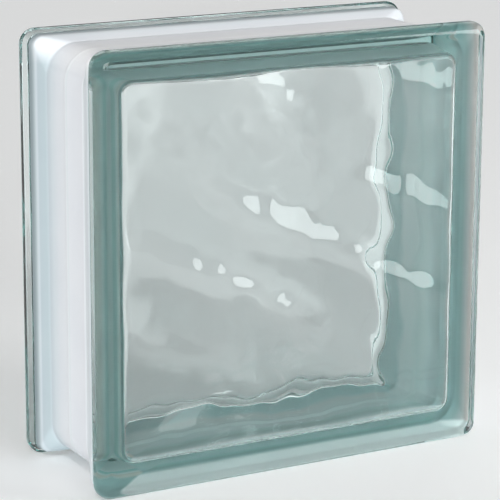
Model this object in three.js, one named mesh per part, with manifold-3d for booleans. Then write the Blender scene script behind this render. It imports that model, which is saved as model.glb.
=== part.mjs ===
// A hollow glass block for walls: two pressed glass trays fused rim to rim, with a white coat in
// the mortar channel that runs round its four edges.
//
// Millimetres, +Z up. The block stands on one edge, with its front face towards -Y and its back
// face towards +Y. The origin is the middle of the underside.
import * as THREE from 'three';
import { mergeVertices } from 'three/addons/utils/BufferGeometryUtils.js';
import Module from 'manifold-3d';

// ---- Overall size ----
const BLOCK_SIDE = 190;
const BLOCK_DEPTH = 80;

// ---- Outer rim of each tray, from the face inwards ----
const FACE_FILLET = 5;
const OUTER_CORNER_RADIUS = 7;
const LAND_WIDTH = 2;
const STEP_RUN = 1.8;
const STEP_DEPTH = 1.8;
const SHELF_WIDTH = 5.2;
const SHELF_FALL = 0.6;

// ---- Mortar channel, shared by the two trays ----
const CHANNEL_DEPTH = 4.6;
const CHANNEL_FLOOR_WIDTH = 36;
const CHANNEL_CORNER_RADIUS = 14;

// ---- White coat: it lies flush in a shallow seat in the glass ----
const COATING_THICKNESS = 0.4;
const COATING_CLEARANCE = 0.05;
const COATING_SETBACK = 9.5;

// ---- Hollow inside ----
const WALL_THICKNESS = 6;
const FACE_THICKNESS = 8;
const WALL_DRAFT = THREE.MathUtils.degToRad(4);
const INNER_CORNER_RADIUS = 6;
const INNER_FILLET = 5;

// ---- Wave pattern on the inner face of each tray ----
// Each wave is a sine that travels along its heading, given in degrees from +X towards +Z.
const WAVES = [
  { height: 0.49, length: 37.9, heading: 58, phase: 3.72 },
  { height: 0.23, length: 96, heading: 179.5, phase: 2.16 },
  { height: 0.19, length: 45, heading: -81.5, phase: 5.56 },
  { height: 0.18, length: 30.1, heading: 65, phase: 4.06 },
  { height: 0.1, length: 28.2, heading: 68.5, phase: 3.18 },
];
const WAVE_CELL = 5.5;

// ---- How finely round stretches are divided ----
const CORNER_STEPS = 6;
const FILLET_STEPS = 4;

// ---- Places that follow from the sizes above ----
const HALF_SIDE = BLOCK_SIDE / 2;
const HALF_DEPTH = BLOCK_DEPTH / 2;
const LAND_OUTER_Y = HALF_DEPTH - FACE_FILLET;
const LAND_INNER_Y = LAND_OUTER_Y - LAND_WIDTH;
const SHELF_OUTER_Y = LAND_INNER_Y - STEP_RUN;
const SHELF_INNER_Y = SHELF_OUTER_Y - SHELF_WIDTH;
const SHELF_DEPTH = STEP_DEPTH + SHELF_FALL;
const CHANNEL_FOOT_Y = CHANNEL_FLOOR_WIDTH / 2;
const COATING_EDGE_Y = HALF_DEPTH - COATING_SETBACK;
const COATING_SEAT = COATING_THICKNESS + COATING_CLEARANCE;
const HOLLOW_HALF_SIDE = HALF_SIDE - CHANNEL_DEPTH - COATING_SEAT - WALL_THICKNESS;
const WAVE_REACH = WAVES.reduce((total, wave) => total + wave.height, 0);
const HOLLOW_DEPTH = HALF_DEPTH - FACE_THICKNESS;
const CUT_OVERRUN = 1;
const MIN_CORNER_RADIUS = 0.5;

const wasm = await Module();
wasm.setup();

function toManifold(geometry) {
  const bare = geometry.toNonIndexed();
  bare.deleteAttribute('normal');
  bare.deleteAttribute('uv');
  const merged = mergeVertices(bare, 1e-4);
  return new wasm.Manifold(new wasm.Mesh({
    numProp: 3,
    vertProperties: new Float32Array(merged.attributes.position.array),
    triVerts: new Uint32Array(merged.index.array),
  }));
}

function toGeometry(solid) {
  const mesh = solid.getMesh();
  const geometry = new THREE.BufferGeometry();
  geometry.setAttribute('position', new THREE.BufferAttribute(mesh.vertProperties, 3));
  geometry.setIndex(new THREE.BufferAttribute(mesh.triVerts, 1));
  geometry.computeVertexNormals();
  return geometry;
}

// One ring of points round the Y axis: a square of the given half side with rounded corners.
function roundedSquare(y, halfSide, cornerRadius) {
  const centre = halfSide - cornerRadius;
  const ring = [];
  for (let corner = 0; corner < 4; corner += 1) {
    const diagonal = (corner + 0.5) * Math.PI / 2;
    for (let step = 0; step <= CORNER_STEPS; step += 1) {
      const angle = (corner + step / CORNER_STEPS) * Math.PI / 2;
      ring.push(new THREE.Vector3(
        Math.sign(Math.cos(diagonal)) * centre + cornerRadius * Math.cos(angle),
        y,
        Math.sign(Math.sin(diagonal)) * centre + cornerRadius * Math.sin(angle),
      ));
    }
  }
  return ring;
}

// Skins a row of rings. A capped row is closed by its two end rings, and a looped row by joining
// its last ring to its first.
function loft(rings, looped = false) {
  const count = rings[0].length;
  const index = [];
  const joins = looped ? rings.length : rings.length - 1;
  for (let row = 0; row < joins; row += 1) {
    const near = row * count;
    const far = ((row + 1) % rings.length) * count;
    for (let i = 0; i < count; i += 1) {
      const next = (i + 1) % count;
      index.push(near + i, far + next, near + next);
      index.push(near + i, far + i, far + next);
    }
  }
  if (!looped) {
    const end = (rings.length - 1) * count;
    const outline = rings[0].map((point) => new THREE.Vector2(point.x, point.z));
    for (const [a, b, c] of THREE.ShapeUtils.triangulateShape(outline, [])) {
      index.push(a, b, c);
      index.push(end + a, end + c, end + b);
    }
  }
  const geometry = new THREE.BufferGeometry().setFromPoints(rings.flat());
  geometry.setIndex(index);
  return geometry;
}

// How far the surface lies inside the block's outline, at a distance y from mid-depth.
function recessAt(y) {
  if (y > LAND_OUTER_Y) {
    const rise = (y - LAND_OUTER_Y) / FACE_FILLET;
    return FACE_FILLET * (1 - Math.sqrt(Math.max(0, 1 - rise * rise)));
  }
  if (y >= LAND_INNER_Y) return 0;
  if (y >= SHELF_OUTER_Y) return STEP_DEPTH * (LAND_INNER_Y - y) / STEP_RUN;
  if (y >= SHELF_INNER_Y) return STEP_DEPTH + SHELF_FALL * (SHELF_OUTER_Y - y) / SHELF_WIDTH;
  if (y > CHANNEL_FOOT_Y) {
    const run = (SHELF_INNER_Y - y) / (SHELF_INNER_Y - CHANNEL_FOOT_Y);
    return THREE.MathUtils.lerp(SHELF_DEPTH, CHANNEL_DEPTH, run);
  }
  return CHANNEL_DEPTH;
}

// Corner radius of the outer surface. It keeps to the outline's centres from the face to the
// shelf, and widens down the slope to the channel floor.
function cornerRadiusAt(y) {
  const recess = recessAt(y);
  if (y >= SHELF_INNER_Y) return OUTER_CORNER_RADIUS - recess;
  const share = (recess - SHELF_DEPTH) / (CHANNEL_DEPTH - SHELF_DEPTH);
  return THREE.MathUtils.lerp(OUTER_CORNER_RADIUS - SHELF_DEPTH, CHANNEL_CORNER_RADIUS, share);
}

// A ring on the outer surface, or sunk below it.
function surfaceRing(y, sink = 0) {
  const distance = Math.abs(y);
  const radius = Math.max(cornerRadiusAt(distance) - sink, MIN_CORNER_RADIUS);
  return roundedSquare(y, HALF_SIDE - recessAt(distance) - sink, radius);
}

// Distances from mid-depth at which the outer surface changes slope, from the face inwards.
function edgeStations() {
  const fillet = [];
  for (let step = 0; step <= FILLET_STEPS; step += 1) {
    const angle = (1 - step / FILLET_STEPS) * Math.PI / 2;
    fillet.push(LAND_OUTER_Y + FACE_FILLET * Math.sin(angle));
  }
  return [...fillet, LAND_INNER_Y, SHELF_OUTER_Y, SHELF_INNER_Y, CHANNEL_FOOT_Y];
}

const STATIONS = edgeStations();
const CLEAR_STATIONS = STATIONS.filter((y) => y > COATING_EDGE_Y);
const COATED_STATIONS = STATIONS.filter((y) => y < COATING_EDGE_Y - COATING_CLEARANCE);

// Outside of one tray, face at -Y and rim at mid-depth, with the seat for the coat cut in.
function trayBody() {
  return loft([
    ...CLEAR_STATIONS.map((y) => surfaceRing(-y)),
    surfaceRing(-COATING_EDGE_Y),
    surfaceRing(-COATING_EDGE_Y, COATING_SEAT),
    ...COATED_STATIONS.map((y) => surfaceRing(-y, COATING_SEAT)),
    surfaceRing(0, COATING_SEAT),
  ]);
}

// Smooth hollow of one tray: drafted walls that run into its floor by a fillet.
function trayHollow() {
  const floor = HOLLOW_DEPTH + WAVE_REACH;
  const rings = [];
  for (let step = 0; step <= FILLET_STEPS; step += 1) {
    const angle = (1 - step / FILLET_STEPS) * Math.PI / 2;
    const inset = INNER_FILLET * (1 - Math.cos(angle));
    const depth = floor - INNER_FILLET * (1 - Math.sin(angle));
    const halfSide = HOLLOW_HALF_SIDE - depth * Math.tan(WALL_DRAFT) - inset;
    rings.push(roundedSquare(-depth, halfSide, Math.max(INNER_CORNER_RADIUS - inset, MIN_CORNER_RADIUS)));
  }
  const mouth = HOLLOW_HALF_SIDE + CUT_OVERRUN * Math.tan(WALL_DRAFT);
  rings.push(roundedSquare(CUT_OVERRUN, mouth, INNER_CORNER_RADIUS));
  return loft(rings);
}

// Height of the wave pattern above the mean inner face.
function waveHeight(x, z) {
  return WAVES.reduce((total, wave) => {
    const heading = THREE.MathUtils.degToRad(wave.heading);
    const along = x * Math.cos(heading) + z * Math.sin(heading);
    return total + wave.height * Math.sin(2 * Math.PI * along / wave.length + wave.phase);
  }, 0);
}

// A block as wide as the glass whose far side carries the wave pattern.
function waveBlock() {
  const cells = Math.round(BLOCK_SIDE / WAVE_CELL);
  const depth = HOLLOW_DEPTH + 2 * CUT_OVERRUN;
  const geometry = new THREE.BoxGeometry(BLOCK_SIDE, depth, BLOCK_SIDE, cells, 1, cells);
  const position = geometry.attributes.position;
  for (let i = 0; i < position.count; i += 1) {
    const floorY = waveHeight(position.getX(i), position.getZ(i)) - HOLLOW_DEPTH;
    position.setY(i, position.getY(i) < 0 ? floorY : 2 * CUT_OVERRUN);
  }
  return geometry;
}

function trayGeometry() {
  const hollow = toManifold(trayHollow()).intersect(toManifold(waveBlock()));
  return toGeometry(toManifold(trayBody()).subtract(hollow));
}

// The coat is one closed band that bridges the joint between the trays.
function coatingGeometry() {
  const half = [COATING_EDGE_Y - COATING_CLEARANCE, ...COATED_STATIONS];
  const across = [...half.map((y) => -y), ...half.toReversed()];
  return loft([
    ...across.map((y) => surfaceRing(y)),
    ...across.toReversed().map((y) => surfaceRing(y, COATING_THICKNESS)),
  ], true);
}

const clearGlass = new THREE.MeshStandardMaterial({
  color: 0xa9c4bf, roughness: 0.05, metalness: 0, transparent: true, opacity: 0.45,
});
const whiteCoat = new THREE.MeshStandardMaterial({ color: 0xe6e9ee, roughness: 0.55, metalness: 0 });

function makeMesh(name, geometry, material) {
  const mesh = new THREE.Mesh(geometry, material);
  mesh.name = name;
  return mesh;
}

const block = new THREE.Group();
block.position.z = HALF_SIDE;

const frontShell = makeMesh('front_shell', trayGeometry(), clearGlass);

// The same tray again, turned to face backwards and a quarter turn on its side, so that the two
// wave patterns cross.
const backShell = makeMesh('back_shell', trayGeometry(), clearGlass.clone());
backShell.rotation.set(0, Math.PI / 2, Math.PI);

block.add(frontShell, backShell, makeMesh('edge_coating', coatingGeometry(), whiteCoat));

export default block;
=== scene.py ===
"""Looks of a hollow glass block for walls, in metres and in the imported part's frame.

Two pressed trays of clear wavy glass are fused into one body, and a white coat lies in the mortar
channel on its four edges. The glass body stands for both shells, because the weld leaves no joint.
"""
import math

import bpy
import numpy as np
from mathutils import Matrix, Vector


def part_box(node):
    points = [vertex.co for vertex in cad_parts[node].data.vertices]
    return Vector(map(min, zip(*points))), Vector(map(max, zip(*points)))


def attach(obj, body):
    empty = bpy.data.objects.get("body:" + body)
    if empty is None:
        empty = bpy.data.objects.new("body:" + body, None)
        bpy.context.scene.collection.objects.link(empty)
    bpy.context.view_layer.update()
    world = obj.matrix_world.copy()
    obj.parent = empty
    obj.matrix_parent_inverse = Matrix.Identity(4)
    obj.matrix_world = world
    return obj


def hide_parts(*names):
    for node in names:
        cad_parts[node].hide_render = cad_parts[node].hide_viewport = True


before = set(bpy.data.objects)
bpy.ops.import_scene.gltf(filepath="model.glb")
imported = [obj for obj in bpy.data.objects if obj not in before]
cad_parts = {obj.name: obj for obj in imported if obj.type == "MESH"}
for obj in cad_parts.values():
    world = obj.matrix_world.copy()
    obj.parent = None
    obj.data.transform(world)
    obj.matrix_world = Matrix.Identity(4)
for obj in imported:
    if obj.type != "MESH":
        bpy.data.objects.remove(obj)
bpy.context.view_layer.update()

MM = 0.001

# ---- Overall size, from the frame ----
FRONT_LOW, FRONT_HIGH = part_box("front_shell")
_, BACK_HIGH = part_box("back_shell")
HALF_SIDE = (FRONT_HIGH.x - FRONT_LOW.x) / 2
HALF_DEPTH = (BACK_HIGH.y - FRONT_LOW.y) / 2
CENTRE_Z = (FRONT_LOW.z + FRONT_HIGH.z) / 2

# ---- Section of the edge, from the face inwards ----
FACE_FILLET = 5 * MM
OUTER_CORNER_RADIUS = 7 * MM
LAND_WIDTH = 2 * MM
STEP_RUN = 1.8 * MM
STEP_DEPTH = 1.8 * MM
SHELF_WIDTH = 5.2 * MM
SHELF_FALL = 0.6 * MM
CHANNEL_DEPTH = 4.6 * MM
CHANNEL_FLOOR_WIDTH = 36 * MM
CHANNEL_CORNER_RADIUS = 14 * MM
EDGE_SOFTNESS = 0.35 * MM
SLOPE_SOFTNESS = 0.8 * MM

# ---- White coat ----
COAT_THICKNESS = 0.4 * MM
COAT_SETBACK = 9.5 * MM
COAT_FEATHER = 1.2 * MM
COAT_AIR = 0.01 * MM

# ---- Sideways wander of the coat's masked edge: two sines around the block ----
WOBBLE_HEIGHT = 0.25 * MM
WOBBLE_COUNTS = (17, 29)
WOBBLE_SECOND_SHARE = 0.6
WOBBLE_SECOND_PHASE = 2.1
WOBBLE_BACK_PHASE = 1.3

# ---- Hollow ----
WALL_THICKNESS = 6 * MM
FACE_THICKNESS = 8 * MM
WALL_DRAFT = math.radians(4)
INNER_CORNER_RADIUS = 6 * MM
INNER_FILLET = 5 * MM
CREASE_SOFTNESS = 1.2 * MM
COAT_SEAT = 0.45 * MM

# ---- Weld where the two rims are fused ----
WELD_HALF_WIDTH = 1.8 * MM
WELD_BEAD_INSIDE = 0.9 * MM
WELD_RIDGE_OUTSIDE = 0.08 * MM

# ---- Moulded waves: height, length, heading in degrees, phase ----
WAVES = (
    (0.49 * MM, 37.9 * MM, 58, 3.72),
    (0.23 * MM, 96 * MM, 179.5, 2.16),
    (0.19 * MM, 45 * MM, -81.5, 5.56),
    (0.18 * MM, 30.1 * MM, 65, 4.06),
    (0.1 * MM, 28.2 * MM, 68.5, 3.18),
)

# ---- Fine unevenness of the pressed inner faces: height, shortest and longest length ----
RIPPLE_HEIGHT = 0.03 * MM
RIPPLE_LENGTHS = (11 * MM, 25 * MM)
RIPPLE_COUNT = 8
RIPPLE_FIRST_HEADING = 20
RIPPLE_HEADING_STEP = 137.5
RIPPLE_PHASE_STEP = 1.7

# ---- Camera, fitted to the block's outline ----
CAMERA_YAW = math.radians(29.14)
CAMERA_PITCH = math.radians(14.0)
CAMERA_ROLL = math.radians(0.28)
CAMERA_DISTANCE = 1.0395
CAMERA_OFFSET_RIGHT = 1.73 * MM
CAMERA_OFFSET_UP = 5.14 * MM
FOCAL_PIXELS = 2357.7
FRAME_PIXELS = 500
SENSOR_WIDTH = 36
CAMERA_CLIP = (0.05, 50)

# ---- Glass ----
GLASS_IOR = 1.52
GLASS_TINT = (0.0, 0.62, 0.58)
GLASS_DENSITY = 9.0
GLASS_UNEVENNESS = 0.03 * MM
GLASS_UNEVENNESS_SCALE = 30

# ---- Paint of the coat ----
COAT_ROUGHNESS = 0.5
COAT_SPECULAR = 0.5
UNDERSIDE_ROUGHNESS = 0.9
UNDERSIDE_SPECULAR = 0.0
PEEL_HEIGHT = 0.03 * MM
PEEL_SCALE = 900
MOTTLE_COLOUR = (0.96, 0.965, 0.975)
MOTTLE_RANGE = (0.3, 0.7)
MOTTLE_SCALE = 45
MOTTLE_DETAIL = 5

# ---- Floor ----
FLOOR_COLOUR = (0.90, 0.91, 0.91)
FLOOR_GLOW = 0.12
FLOOR_ROUGHNESS = 0.9
FLOOR_REACH = 8.0
FLOOR_GRID = 40

# ---- Light. Level 1 lights a white surface that faces the lamp to white ----
WORLD_LEVEL = 0.08
# Far lamps: name, azimuth and elevation in degrees, level. The front one stands on the camera's
# side, so the block's shadow falls behind it and shows mainly through its panes.
FAR_LAMPS = (
    ("front_sun", (29, 9.5), 1.24),
    ("high_sun", (30, 40), 0.22),
)
FAR_LAMP_ANGLE = math.radians(5)
FAR_LAMP_DISTANCE = 3
# Softboxes: name, azimuth and elevation in degrees, distance, size, level
SOFTBOXES = (
    ("key", (-46.5, 16.5), 1.2, (0.44, 0.66), 0.43),
    ("front_low", (0, 9), 3, (1.6, 1.6), 0.52),
    ("left_rear", (140, 12), 3, (1.6, 1.6), 0.12),
    ("right_rear", (-140, 40), 3, (1.6, 1.6), 0.11),
)

# ---- How often light may bounce on its way through the hollow glass ----
MAX_BOUNCES = 40
GLOSSY_BOUNCES = 12
DIFFUSE_BOUNCES = 14

# ---- How finely surfaces are divided ----
CORNER_STEPS = 12
OUTSIDE_SIDE_STEPS = 48
HOLLOW_SIDE_STEPS = 72
FACE_SHARES = (0.02, 0.25, 0.5, 0.75, 0.95, 0.995)
FILLET_STEPS = 14
LAND_STEPS = 18
STEP_STEPS = 5
SHELF_STEPS = 8
BEND_STEPS = 7
SLOPE_STEPS = 4
CHANNEL_STEPS = 4
WELD_STEPS = 7
HOLLOW_FLOOR_STEPS = 40
INNER_FILLET_STEPS = 20
WALL_STEPS = 8
BEAD_STEPS = 6
SOFTNESS_SAMPLES = 17

# ---- Places that follow from the sizes above ----
LAND_OUTER_Y = HALF_DEPTH - FACE_FILLET
LAND_INNER_Y = LAND_OUTER_Y - LAND_WIDTH
SHELF_OUTER_Y = LAND_INNER_Y - STEP_RUN
SHELF_INNER_Y = SHELF_OUTER_Y - SHELF_WIDTH
SHELF_DEPTH = STEP_DEPTH + SHELF_FALL
CHANNEL_FOOT_Y = CHANNEL_FLOOR_WIDTH / 2
COAT_EDGE_Y = HALF_DEPTH - COAT_SETBACK
HOLLOW_HALF_SIDE = HALF_SIDE - CHANNEL_DEPTH - COAT_SEAT - WALL_THICKNESS
HOLLOW_DEPTH = HALF_DEPTH - FACE_THICKNESS
WAVE_REACH = sum(wave[0] for wave in WAVES) + RIPPLE_COUNT * RIPPLE_HEIGHT

# ---- Coat colour with painted light and shade, front face to back: y from mid-depth, colour ----
# Painted light and shade: slopes lighter or darker as light falls, dark lines at the coat's front and
# back edges.
COAT_TONES_AND_PAINTED_SHADE = (
    (-28.5 * MM, (0.08, 0.19, 0.19)),
    (-27.8 * MM, (0.74, 0.80, 0.83)),
    (-18.5 * MM, (0.85, 0.90, 0.93)),
    (-16 * MM, (0.68, 0.70, 0.73)),
    (-2.6 * MM, (0.70, 0.725, 0.755)),
    (-1.3 * MM, (0.64, 0.69, 0.705)),
    (0, (0.685, 0.71, 0.735)),
    (8 * MM, (0.65, 0.685, 0.715)),
    (13.5 * MM, (0.585, 0.645, 0.675)),
    (17.4 * MM, (0.49, 0.555, 0.59)),
    (19.5 * MM, (0.385, 0.46, 0.485)),
    (23.8 * MM, (0.375, 0.44, 0.47)),
    (24.8 * MM, (0.47, 0.525, 0.555)),
    (25.8 * MM, (0.415, 0.475, 0.495)),
    (27 * MM, (0.32, 0.38, 0.40)),
    (28.6 * MM, (0.225, 0.275, 0.29)),
)
# The top edge, painted whiter than the sides as light from above makes it: painted light.
TOP_COAT_PAINTED_LIGHT = (
    (-28 * MM, (0.98, 0.99, 1.0)),
    (0, (0.98, 0.99, 1.0)),
    (15 * MM, (0.92, 0.94, 0.97)),
    (19.5 * MM, (0.67, 0.70, 0.73)),
    (23.8 * MM, (0.64, 0.68, 0.71)),
    (26 * MM, (0.57, 0.61, 0.63)),
    (28.6 * MM, (0.28, 0.33, 0.35)),
)

# ---- The same for its underside, seen through the glass, on the +X edge, the -X and top edges
# and the edge that the block stands on: painted light and shade for the light that reaches it ----
RIGHT_PAINTED_LIGHT_AND_SHADE = (
    (-28 * MM, (0.81, 0.69, 0.67)),
    (-26 * MM, (0.69, 0.64, 0.63)),
    (-24 * MM, (0.50, 0.515, 0.515)),
    (-21 * MM, (0.325, 0.43, 0.425)),
    (-18 * MM, (0.35, 0.48, 0.48)),
    (-12 * MM, (0.59, 0.71, 0.71)),
    (-8 * MM, (0.80, 0.92, 0.92)),
    (-4 * MM, (0.87, 0.97, 0.96)),
    (3 * MM, (0.87, 0.97, 0.96)),
    (7 * MM, (0.94, 1.0, 1.0)),
    (15 * MM, (0.94, 1.0, 1.0)),
    (20 * MM, (0.67, 0.85, 0.85)),
    (26 * MM, (0.68, 0.84, 0.84)),
)
LEFT_AND_TOP_PAINTED_LIGHT_AND_SHADE = (
    (-19 * MM, (0.30, 0.44, 0.44)),
    (-17.5 * MM, (0.80, 0.78, 0.75)),
    (-15 * MM, (0.96, 0.90, 0.86)),
    (-11.5 * MM, (0.90, 0.85, 0.81)),
    (-10.3 * MM, (1.0, 1.0, 1.0)),
    (-8.3 * MM, (1.0, 1.0, 1.0)),
    (-7.2 * MM, (0.62, 0.82, 0.80)),
    (-4 * MM, (0.62, 0.82, 0.80)),
    (-2.9 * MM, (1.0, 1.0, 1.0)),
    (26 * MM, (1.0, 1.0, 1.0)),
)
LOW_PAINTED_LIGHT_AND_SHADE = (
    (-18.5 * MM, (1.0, 1.0, 1.0)),
    (-16 * MM, (0.80, 0.88, 0.88)),
    (-13.5 * MM, (0.55, 0.71, 0.70)),
    (-11 * MM, (0.47, 0.63, 0.61)),
    (-7 * MM, (0.62, 0.81, 0.79)),
    (-3 * MM, (0.88, 1.0, 1.0)),
    (14 * MM, (0.95, 1.0, 1.0)),
    (19 * MM, (0.74, 1.0, 1.0)),
    (26 * MM, (0.66, 0.95, 0.95)),
)

# ---- Where the tones of one edge give way to those of the next ----
TONE_BLEND = 1 * MM
# The top's tones start on the corners' arcs, and are full where the top is flat.
TOP_TONES_FULL_Z = 2 * CENTRE_Z - CHANNEL_DEPTH - 1 * MM
TOP_TONES_BLEND = 8 * MM
# The +X edge's tones end where the reach along (-1, 0, SIDE_SPLIT_SLANT) is SIDE_SPLIT: at the
# upper +X corner, and under the block short of the -X corner.
SIDE_SPLIT_SLANT = 0.88
SIDE_SPLIT = 72 * MM
# The standing edge's tones end just above its channel, and at the -X corner where the reach
# along (1, -1, 0) is LOW_TONES_SLANT.
LOW_TONES_START_Z = CHANNEL_DEPTH + 2 * MM
LOW_TONES_FULL_Z = CHANNEL_DEPTH + 0.8 * MM
LOW_TONES_SLANT = -53 * MM


# ------------------------------------------------------------------ rings and skins

def rounded_square(half_side, radius, side_steps):
    """x and z of the points of a square ring with rounded corners."""
    corners = []
    for corner in range(4):
        diagonal = (corner + 0.5) * math.pi / 2
        pivot = (half_side - radius) * np.sign([math.cos(diagonal), math.sin(diagonal)])
        angles = (corner + np.linspace(0, 1, CORNER_STEPS + 1)) * math.pi / 2
        corners.append(pivot + radius * np.column_stack([np.cos(angles), np.sin(angles)]))
    shares = np.linspace(0, 1, side_steps + 1)[1:-1, None]
    points = []
    for corner in range(4):
        start, end = corners[corner][-1], corners[(corner + 1) % 4][0]
        points.extend([corners[corner], start + shares * (end - start)])
    return np.vstack(points)


def ring(half_side, radius, y, side_steps):
    """One ring of points in space. y is a number, or one number for each point."""
    flat = rounded_square(half_side, radius, side_steps)
    heights = np.broadcast_to(y, len(flat))
    return np.column_stack([flat[:, 0], heights, flat[:, 1] + CENTRE_Z])


def skin(rings, first_vertex=0, inward=False, looped=False):
    """Quads between rings that follow one another towards +Y, as vertex numbers, one row each."""
    count = len(rings[0])
    near = np.arange(len(rings) - (0 if looped else 1))[:, None] * count
    far = (near + count) % (len(rings) * count)
    this = np.arange(count)
    after = (this + 1) % count
    quads = np.stack([near + this, far + this, far + after, near + after], axis=-1)
    quads = quads.reshape(-1, 4) + first_vertex
    return quads[:, ::-1] if inward else quads


def fans(rings, first_vertex, centres, inward=False):
    """Triangles that close the first and last ring to their two centre points."""
    count = len(rings[0])
    this = np.arange(count)
    after = (this + 1) % count
    last = (len(rings) - 1) * count
    front = np.column_stack([this, after, np.full(count, centres[0])])
    back = np.column_stack([last + after, last + this, np.full(count, centres[1])])
    front[:, :2] += first_vertex
    back[:, :2] += first_vertex
    triangles = np.vstack([front, back])
    return triangles[:, ::-1] if inward else triangles


def make_piece(name, vertices, faces, slots, materials):
    """A smooth-shaded mesh object that rides on the block. slots gives each face's material."""
    mesh = bpy.data.meshes.new(name)
    mesh.from_pydata(vertices.tolist(), [], faces)
    mesh.polygons.foreach_set("material_index", slots)
    for material in materials:
        mesh.materials.append(material)
    mesh.shade_smooth()
    mesh.validate()
    piece = bpy.data.objects.new(name, mesh)
    bpy.context.scene.collection.objects.link(piece)
    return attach(piece, "root")


# ------------------------------------------------------------------ section of the edge

def sharp_recess(y):
    """Recess of the edge inside the block's outline, at distances y from mid-depth."""
    rise = np.clip((y - LAND_OUTER_Y) / FACE_FILLET, 0, 1)
    fillet = FACE_FILLET * (1 - np.sqrt(1 - rise ** 2))
    kinks = [CHANNEL_FOOT_Y, SHELF_INNER_Y, SHELF_OUTER_Y, LAND_INNER_Y]
    channel = np.interp(y, kinks, [CHANNEL_DEPTH, SHELF_DEPTH, STEP_DEPTH, 0])
    return np.where(y > LAND_OUTER_Y, fillet, channel)


def recess(y):
    """The same with its kinks rounded off, as fire-polished glass has them."""
    distance = abs(y)
    if distance > LAND_OUTER_Y - EDGE_SOFTNESS:
        return float(sharp_recess(np.array(distance)))
    softness = EDGE_SOFTNESS if distance > SHELF_OUTER_Y - EDGE_SOFTNESS else SLOPE_SOFTNESS
    spread = np.linspace(-softness, softness, SOFTNESS_SAMPLES)
    return float(np.mean(sharp_recess(np.abs(distance + spread))))


def weld(y):
    """Share of the weld's full height at a distance y from mid-depth."""
    return math.cos(math.pi / 2 * min(abs(y) / WELD_HALF_WIDTH, 1)) ** 2


def smoothstep(value):
    """An even rise from 0 to 1 that starts and ends level."""
    value = min(max(value, 0.0), 1.0)
    return value * value * (3 - 2 * value)


def coat_thickness(y):
    """Thickness of the coat at a distance y from mid-depth. It tapers to nothing at its edge."""
    return COAT_THICKNESS * smoothstep((COAT_EDGE_Y - abs(y)) / COAT_FEATHER)


def coat_wobble(y):
    """Sideways wander of the coat's masked edge, for each point of the ring at y."""
    around = np.linspace(0, 2 * math.pi, 4 * (CORNER_STEPS + OUTSIDE_SIDE_STEPS), endpoint=False)
    phase = WOBBLE_BACK_PHASE if y > 0 else 0.0
    first = np.sin(WOBBLE_COUNTS[0] * around + phase)
    second = np.sin(WOBBLE_COUNTS[1] * around + 2 * phase + WOBBLE_SECOND_PHASE)
    wander = (first + WOBBLE_SECOND_SHARE * second) / (1 + WOBBLE_SECOND_SHARE)
    nearness = smoothstep(1 - abs(abs(y) - COAT_EDGE_Y) / (2 * COAT_FEATHER))
    return WOBBLE_HEIGHT * nearness * wander


def edge_ring(y, sink=0.0):
    """A ring on the block's edge, or sunk below it. Its corners widen down the channel's slope."""
    depth = recess(y)
    if abs(y) > LAND_OUTER_Y:
        radius = OUTER_CORNER_RADIUS - depth
    else:
        shelf_radius = OUTER_CORNER_RADIUS - min(depth, SHELF_DEPTH)
        share = max(depth - SHELF_DEPTH, 0) / (CHANNEL_DEPTH - SHELF_DEPTH)
        radius = shelf_radius + share * (CHANNEL_CORNER_RADIUS - shelf_radius)
    half_side = HALF_SIDE - depth + WELD_RIDGE_OUTSIDE * weld(y) - sink
    return ring(half_side, radius - sink, y + coat_wobble(y), OUTSIDE_SIDE_STEPS)


def stations(*stretches):
    """Distances from mid-depth, outermost first: each stretch is its start, end and steps."""
    lines = [np.linspace(start, end, steps, endpoint=False) for start, end, steps in stretches]
    return np.concatenate([*lines, [stretches[-1][1]]])


def mirrored(distances):
    """The same stations from the front face to the back face."""
    return np.concatenate([-distances, distances[::-1][1:]])


COATED_STATIONS = stations(
    (COAT_EDGE_Y, SHELF_INNER_Y + SLOPE_SOFTNESS, SHELF_STEPS),
    (SHELF_INNER_Y + SLOPE_SOFTNESS, SHELF_INNER_Y - SLOPE_SOFTNESS, BEND_STEPS),
    (SHELF_INNER_Y - SLOPE_SOFTNESS, CHANNEL_FOOT_Y + SLOPE_SOFTNESS, SLOPE_STEPS),
    (CHANNEL_FOOT_Y + SLOPE_SOFTNESS, CHANNEL_FOOT_Y - SLOPE_SOFTNESS, BEND_STEPS),
    (CHANNEL_FOOT_Y - SLOPE_SOFTNESS, WELD_HALF_WIDTH, CHANNEL_STEPS),
    (WELD_HALF_WIDTH, 0, WELD_STEPS),
)


# ------------------------------------------------------------------ glass body

def face_rings(y):
    """Rings of one flat face, from near its middle to where its fillet starts."""
    half_side = HALF_SIDE - FACE_FILLET
    radius = OUTER_CORNER_RADIUS - FACE_FILLET
    return [ring(half_side * share, radius * share, y, OUTSIDE_SIDE_STEPS)
            for share in FACE_SHARES]


def outside_rings():
    """The outer surface of the glass, and how many rings its bare rim has at each face."""
    angles = np.linspace(math.pi / 2, 0, FILLET_STEPS + 1)
    fillet = LAND_OUTER_Y + FACE_FILLET * np.sin(angles)
    bare = stations(
        (LAND_OUTER_Y, SHELF_OUTER_Y - EDGE_SOFTNESS, LAND_STEPS),
        (SHELF_OUTER_Y - EDGE_SOFTNESS, COAT_EDGE_Y, STEP_STEPS),
    )
    rim = np.concatenate([fillet, bare[1:-1]])
    distances = mirrored(np.concatenate([rim, COATED_STATIONS]))
    edge = [edge_ring(y, coat_thickness(y)) for y in distances]
    front, back = face_rings(-HALF_DEPTH), face_rings(HALF_DEPTH)
    return front + edge + back[::-1], len(front) + len(rim)


def wave_height(x, z):
    """Height of the wave pattern above the mean inner face."""
    total = np.zeros_like(x)
    for height, length, heading, phase in WAVES:
        cos, sin = math.cos(math.radians(heading)), math.sin(math.radians(heading))
        total += height * np.sin(2 * math.pi * (x * cos + z * sin) / length + phase)
    return total + ripple_height(x, z)


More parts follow.
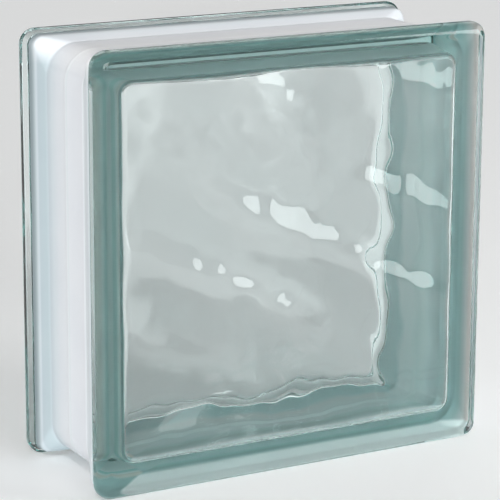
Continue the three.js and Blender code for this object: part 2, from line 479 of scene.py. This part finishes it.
def ripple_height(x, z):
    """Low irregular relief on the waves, of sines that cross one another."""
    total = np.zeros_like(x)
    for index, length in enumerate(np.linspace(*RIPPLE_LENGTHS, RIPPLE_COUNT)):
        heading = math.radians(RIPPLE_FIRST_HEADING + RIPPLE_HEADING_STEP * index)
        across = x * math.cos(heading) + z * math.sin(heading)
        phase = RIPPLE_PHASE_STEP * index
        total += RIPPLE_HEIGHT * np.sin(2 * math.pi * across / length + phase)
    return total


def smooth_min(a, b, softness):
    """The smaller of two values, rounded off where they cross."""
    share = np.clip(0.5 + 0.5 * (b - a) / softness, 0, 1)
    return b + share * (a - b) - softness * share * (1 - share)


def hollow_ring(half_side, radius, depth, side):
    """A ring of the hollow, side -1 in the front tray and 1 in the back one.

    Where it would lie deeper than the wave pattern, it lies on the pattern instead. The back tray
    is the front one turned by a quarter, so its pattern has x and z exchanged.
    """
    flat = rounded_square(half_side, radius, HOLLOW_SIDE_STEPS)
    x, z = flat[:, 0], flat[:, 1]
    waves = wave_height(x, z) if side < 0 else wave_height(z, x)
    y = side * smooth_min(depth, HOLLOW_DEPTH - waves, CREASE_SOFTNESS)
    return np.column_stack([x, y, z + CENTRE_Z])


def hollow_half(side):
    """Rings of one tray's hollow, from the middle of its floor to just short of mid-depth."""
    floor = HOLLOW_DEPTH + WAVE_REACH
    sections = []
    for angle in np.linspace(math.pi / 2, 0, INNER_FILLET_STEPS + 1):
        inset = INNER_FILLET * (1 - math.cos(angle))
        depth = floor - INNER_FILLET * (1 - math.sin(angle))
        half_side = HOLLOW_HALF_SIDE - depth * math.tan(WALL_DRAFT) - inset
        sections.append((half_side, INNER_CORNER_RADIUS - inset, depth))
    floor_half_side, floor_radius, _ = sections[0]
    shares = np.linspace(0, 1, HOLLOW_FLOOR_STEPS + 1)[1:-1]
    flat = [(floor_half_side * share, floor_radius * share, floor) for share in shares]
    wall_top = floor - INNER_FILLET
    wall = stations((wall_top, WELD_HALF_WIDTH, WALL_STEPS), (WELD_HALF_WIDTH, 0, BEAD_STEPS))[1:-1]
    for depth in wall:
        bead = WELD_BEAD_INSIDE * weld(depth)
        half_side = HOLLOW_HALF_SIDE - depth * math.tan(WALL_DRAFT) - bead
        sections.append((half_side, INNER_CORNER_RADIUS, depth))
    return [hollow_ring(*section, side) for section in flat + sections]


def hollow_rings():
    """Rings of the whole hollow, from the front tray's floor to the back tray's."""
    middle = ring(HOLLOW_HALF_SIDE - WELD_BEAD_INSIDE, INNER_CORNER_RADIUS, 0, HOLLOW_SIDE_STEPS)
    return [*hollow_half(-1), middle, *hollow_half(1)[::-1]]


def glass_body(glass, painted):
    """Both shells as one closed glass body, painted white, with painted light and shade, on the
    outside under the coat.
    """
    outside, bare = outside_rings()
    hollow = hollow_rings()
    outside_count = len(outside) * len(outside[0])
    hollow_count = len(hollow) * len(hollow[0])
    total = outside_count + hollow_count
    centres = [(0, -HALF_DEPTH, CENTRE_Z), (0, HALF_DEPTH, CENTRE_Z)]
    centres += [rings.mean(axis=0) for rings in (hollow[0], hollow[-1])]
    vertices = np.vstack([*outside, *hollow, *centres])
    quads = skin(outside)
    hollow_quads = skin(hollow, outside_count, inward=True)
    triangles = fans(outside, 0, (total, total + 1))
    hollow_triangles = fans(hollow, outside_count, (total + 2, total + 3), inward=True)
    row = np.repeat(np.arange(len(outside) - 1), len(outside[0]))
    coated = (row >= bare) & (row < len(outside) - 1 - bare)
    faces = [*quads.tolist(), *hollow_quads.tolist(), *triangles.tolist(), *hollow_triangles.tolist()]
    slots = np.zeros(len(faces), dtype=int)
    slots[:len(quads)] = coated
    piece = make_piece("glass_body", vertices, faces, slots, [glass, painted])
    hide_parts("front_shell", "back_shell")


def white_coat(paint):
    """The coat as one closed band, flush with the bare rim and feathered out at its edges.

    A little air under it keeps its underside off the glass body's own painted faces.
    """
    distances = mirrored(COATED_STATIONS)
    top = [edge_ring(y) for y in distances]
    underside = [edge_ring(y, coat_thickness(y) - COAT_AIR) for y in distances[1:-1]]
    rings = top + underside[::-1]
    faces = skin(rings, looped=True).tolist()
    slots = np.zeros(len(faces), dtype=int)
    piece = make_piece("white_coat", np.vstack(rings), faces, slots, [paint])
    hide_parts("edge_coating")


# ------------------------------------------------------------------ materials

def new_material(name):
    """A material with its nodes, its links and its shader."""
    material = bpy.data.materials.new(name)
    material.use_nodes = True
    nodes = material.node_tree.nodes
    return material, nodes, material.node_tree.links, nodes["Principled BSDF"]


def noise_bump(nodes, links, shader, scale, distance):
    """A bump on the shader from noise in the object's own space. scale is in cycles a metre."""
    place = nodes.new("ShaderNodeTexCoord")
    noise = nodes.new("ShaderNodeTexNoise")
    noise.inputs["Scale"].default_value = scale
    links.new(place.outputs["Object"], noise.inputs["Vector"])
    bump = nodes.new("ShaderNodeBump")
    bump.inputs["Distance"].default_value = distance
    links.new(noise.outputs["Fac"], bump.inputs["Height"])
    links.new(bump.outputs["Normal"], shader.inputs["Normal"])
    return place


def clear_glass():
    """Pressed glass: clear, faintly green in its depth, not quite flat."""
    material, nodes, links, shader = new_material("clear_glass")
    shader.inputs["Base Color"].default_value = (1, 1, 1, 1)
    shader.inputs["Roughness"].default_value = 0.0
    shader.inputs["IOR"].default_value = GLASS_IOR
    shader.inputs["Transmission Weight"].default_value = 1.0
    noise_bump(nodes, links, shader, GLASS_UNEVENNESS_SCALE, GLASS_UNEVENNESS)
    absorption = nodes.new("ShaderNodeVolumeAbsorption")
    absorption.inputs["Color"].default_value = (*GLASS_TINT, 1)
    absorption.inputs["Density"].default_value = GLASS_DENSITY
    links.new(absorption.outputs["Volume"], nodes["Material Output"].inputs["Volume"])
    return material


def share_along(nodes, links, place, direction, start, end):
    """A share from 0 to 1 as a point's reach along a direction goes from start to end."""
    reach = nodes.new("ShaderNodeVectorMath")
    reach.operation = "DOT_PRODUCT"
    reach.inputs[1].default_value = direction
    links.new(place.outputs["Object"], reach.inputs[0])
    share = nodes.new("ShaderNodeMapRange")
    share.inputs["From Min"].default_value = start
    share.inputs["From Max"].default_value = end
    links.new(reach.outputs["Value"], share.inputs["Value"])
    return share.outputs["Result"]


def mixed(nodes, links, share, first, second, blend_type="MIX"):
    """Two colours mixed by a share, which is a number or a node's output."""
    mix = nodes.new("ShaderNodeMix")
    mix.data_type = "RGBA"
    mix.blend_type = blend_type
    if isinstance(share, (int, float)):
        mix.inputs["Factor"].default_value = share
    else:
        links.new(share, mix.inputs["Factor"])
    links.new(first, mix.inputs["A"])
    links.new(second, mix.inputs["B"])
    return mix.outputs["Result"]


def depth_ramp(nodes, links, place, stops):
    """A colour that changes from the front face to the back one. stops are (y, colour)."""
    ramp = nodes.new("ShaderNodeValToRGB")
    elements = ramp.color_ramp.elements
    while len(elements) < len(stops):
        elements.new(0.5)
    for element, (y, colour) in zip(elements, stops):
        element.position = 0.5 + y / HALF_DEPTH / 2
        element.color = (*colour, 1)
    share = share_along(nodes, links, place, (0, 1, 0), -HALF_DEPTH, HALF_DEPTH)
    links.new(share, ramp.inputs["Fac"])
    return ramp.outputs["Color"]


def coat_colour_and_painted_light(nodes, links, place):
    """The coat's colour with painted light and shade, the top edge painted whiter than the sides."""
    sides = depth_ramp(nodes, links, place, COAT_TONES_AND_PAINTED_SHADE)
    top = depth_ramp(nodes, links, place, TOP_COAT_PAINTED_LIGHT)
    start = TOP_TONES_FULL_Z - TOP_TONES_BLEND
    up = share_along(nodes, links, place, (0, 0, 1), start, TOP_TONES_FULL_Z)
    return mixed(nodes, links, up, sides, top)


def underside_painted_light_and_shade(nodes, links, place):
    """The colour under the coat, painted light and shade, from the tones of the +X, the -X and top,
    and the standing edge.
    """
    right = depth_ramp(nodes, links, place, RIGHT_PAINTED_LIGHT_AND_SHADE)
    left_and_top = depth_ramp(nodes, links, place, LEFT_AND_TOP_PAINTED_LIGHT_AND_SHADE)
    low = depth_ramp(nodes, links, place, LOW_PAINTED_LIGHT_AND_SHADE)
    across = (-1, 0, SIDE_SPLIT_SLANT)
    side = share_along(nodes, links, place, across, SIDE_SPLIT - TONE_BLEND, SIDE_SPLIT + TONE_BLEND)
    down = share_along(nodes, links, place, (0, 0, 1), LOW_TONES_START_Z, LOW_TONES_FULL_Z)
    start, end = LOW_TONES_SLANT - TONE_BLEND, LOW_TONES_SLANT + TONE_BLEND
    inner = share_along(nodes, links, place, (1, -1, 0), start, end)
    both = nodes.new("ShaderNodeMath")
    both.operation = "MULTIPLY"
    links.new(down, both.inputs[0])
    links.new(inner, both.inputs[1])
    colour = mixed(nodes, links, side, right, left_and_top)
    return mixed(nodes, links, both.outputs[0], colour, low)


def coat_paint(name, roughness, specular, make_colour):
    """Sprayed coat in tones of painted light and shade from front to back, slightly mottled, with a
    fine orange peel.
    """
    material, nodes, links, shader = new_material(name)
    shader.inputs["Roughness"].default_value = roughness
    shader.inputs["Specular IOR Level"].default_value = specular
    place = noise_bump(nodes, links, shader, PEEL_SCALE, PEEL_HEIGHT)
    mottle = nodes.new("ShaderNodeTexNoise")
    mottle.inputs["Scale"].default_value = MOTTLE_SCALE
    mottle.inputs["Detail"].default_value = MOTTLE_DETAIL
    links.new(place.outputs["Object"], mottle.inputs["Vector"])
    ramp = nodes.new("ShaderNodeValToRGB")
    low, high = ramp.color_ramp.elements
    low.position, high.position = MOTTLE_RANGE
    low.color = (*MOTTLE_COLOUR, 1)
    high.color = (1, 1, 1, 1)
    links.new(mottle.outputs["Fac"], ramp.inputs["Fac"])
    colour = make_colour(nodes, links, place)
    tone = mixed(nodes, links, 1, colour, ramp.outputs["Color"], "MULTIPLY")
    links.new(tone, shader.inputs["Base Color"])
    return material


# ------------------------------------------------------------------ studio

def camera_axes():
    """Right, up and forward directions of the camera."""
    sin_yaw, cos_yaw = math.sin(CAMERA_YAW), math.cos(CAMERA_YAW)
    sin_pitch, cos_pitch = math.sin(CAMERA_PITCH), math.cos(CAMERA_PITCH)
    right = Vector((cos_yaw, -sin_yaw, 0))
    forward = Vector((sin_yaw * cos_pitch, cos_yaw * cos_pitch, -sin_pitch))
    up = right.cross(forward)
    sin_roll, cos_roll = math.sin(CAMERA_ROLL), math.cos(CAMERA_ROLL)
    return cos_roll * right + sin_roll * up, cos_roll * up - sin_roll * right, forward


def add_camera():
    """The camera that sees the block as the photo does, made the scene's own."""
    right, up, forward = camera_axes()
    data = bpy.data.cameras.new("camera")
    data.sensor_width = SENSOR_WIDTH
    data.lens = FOCAL_PIXELS / FRAME_PIXELS * SENSOR_WIDTH
    data.clip_start, data.clip_end = CAMERA_CLIP
    camera = bpy.data.objects.new("camera", data)
    aim = Vector((0, 0, CENTRE_Z)) - CAMERA_OFFSET_RIGHT * right - CAMERA_OFFSET_UP * up
    turn = Matrix((right, up, -forward)).transposed().to_4x4()
    camera.matrix_world = Matrix.Translation(aim - CAMERA_DISTANCE * forward) @ turn
    bpy.context.scene.collection.objects.link(camera)
    bpy.context.scene.camera = camera


def pale_floor():
    """A matt pale floor that looks a little brighter than it lights the block."""
    material, nodes, links, shader = new_material("floor")
    shader.inputs["Base Color"].default_value = (*FLOOR_COLOUR, 1)
    shader.inputs["Roughness"].default_value = FLOOR_ROUGHNESS
    shader.inputs["Specular IOR Level"].default_value = 0.0
    shader.inputs["Emission Color"].default_value = (*FLOOR_COLOUR, 1)
    ray = nodes.new("ShaderNodeLightPath")
    seen = ray.outputs["Is Camera Ray"]
    for kind in ("Is Glossy Ray", "Is Transmission Ray"):
        either = nodes.new("ShaderNodeMath")
        either.operation = "MAXIMUM"
        links.new(seen, either.inputs[0])
        links.new(ray.outputs[kind], either.inputs[1])
        seen = either.outputs[0]
    glow = nodes.new("ShaderNodeMath")
    glow.operation = "MULTIPLY"
    glow.inputs[1].default_value = FLOOR_GLOW
    links.new(seen, glow.inputs[0])
    links.new(glow.outputs[0], shader.inputs["Emission Strength"])
    return material


def add_floor():
    """A pale floor that reaches beyond the view."""
    line = np.linspace(-FLOOR_REACH, FLOOR_REACH, FLOOR_GRID + 1)
    x, y = np.meshgrid(line, line)
    vertices = np.column_stack([x.ravel(), y.ravel(), np.zeros(x.size)])
    this = (np.arange(FLOOR_GRID)[:, None] * (FLOOR_GRID + 1) + np.arange(FLOOR_GRID)).ravel()
    next_row = this + FLOOR_GRID + 1
    faces = np.column_stack([this, this + 1, next_row + 1, next_row])
    mesh = bpy.data.meshes.new("floor")
    mesh.from_pydata(vertices.tolist(), [], faces.tolist())
    mesh.materials.append(pale_floor())
    floor = bpy.data.objects.new("floor", mesh)
    bpy.context.scene.collection.objects.link(floor)


def add_world(strength):
    """An even white surround."""
    world = bpy.data.worlds.new("studio")
    world.use_nodes = True
    background = world.node_tree.nodes["Background"]
    background.inputs["Color"].default_value = (1, 1, 1, 1)
    background.inputs["Strength"].default_value = strength
    bpy.context.scene.world = world


def towards(azimuth, elevation):
    """Direction from the block to a lamp. Azimuth 0 is -Y and 90 is -X; angles are in degrees."""
    a, e = math.radians(azimuth), math.radians(elevation)
    return Vector((-math.sin(a) * math.cos(e), -math.cos(a) * math.cos(e), math.sin(e)))


def add_lamp(name, kind, direction, distance, level):
    """A lamp aimed at the block. Level 1 lights a white surface that faces it to a radiance of 1."""
    data = bpy.data.lights.new(name, kind)
    data.energy = level * math.pi * (1 if kind == "SUN" else math.pi * distance ** 2)
    lamp = bpy.data.objects.new(name, data)
    lamp.location = Vector((0, 0, CENTRE_Z)) + distance * direction
    lamp.rotation_euler = direction.to_track_quat("Z", "Y").to_euler()
    bpy.context.scene.collection.objects.link(lamp)
    return data


def add_softbox(name, direction, distance, size, level):
    """A rectangular lamp near the block."""
    data = add_lamp(name, "AREA", direction, distance, level)
    data.shape = "RECTANGLE"
    data.size, data.size_y = size


def add_far_lamp(name, direction, level):
    """A lamp so far off that its light is even. Glass doesn't mirror it as a bright spot."""
    data = add_lamp(name, "SUN", direction, FAR_LAMP_DISTANCE, level)
    data.angle = FAR_LAMP_ANGLE
    data.cycles.use_multiple_importance_sampling = False


def add_lights():
    """Plain soft studio light."""
    add_world(WORLD_LEVEL)
    for name, place, level in FAR_LAMPS:
        add_far_lamp(name, towards(*place), level)
    for name, place, distance, size, level in SOFTBOXES:
        add_softbox(name, towards(*place), distance, size, level)


def set_render():
    """Plain colours, and enough bounces for light to pass the hollow glass."""
    scene = bpy.context.scene
    scene.view_settings.view_transform = "Standard"
    scene.cycles.max_bounces = MAX_BOUNCES
    scene.cycles.transmission_bounces = MAX_BOUNCES
    scene.cycles.glossy_bounces = GLOSSY_BOUNCES
    scene.cycles.diffuse_bounces = DIFFUSE_BOUNCES


glass_body(
    clear_glass(),
    coat_paint("coat_underside", UNDERSIDE_ROUGHNESS, UNDERSIDE_SPECULAR, underside_painted_light_and_shade),
)
white_coat(coat_paint("white_coat", COAT_ROUGHNESS, COAT_SPECULAR, coat_colour_and_painted_light))
add_floor()
add_lights()
add_camera()
set_render()
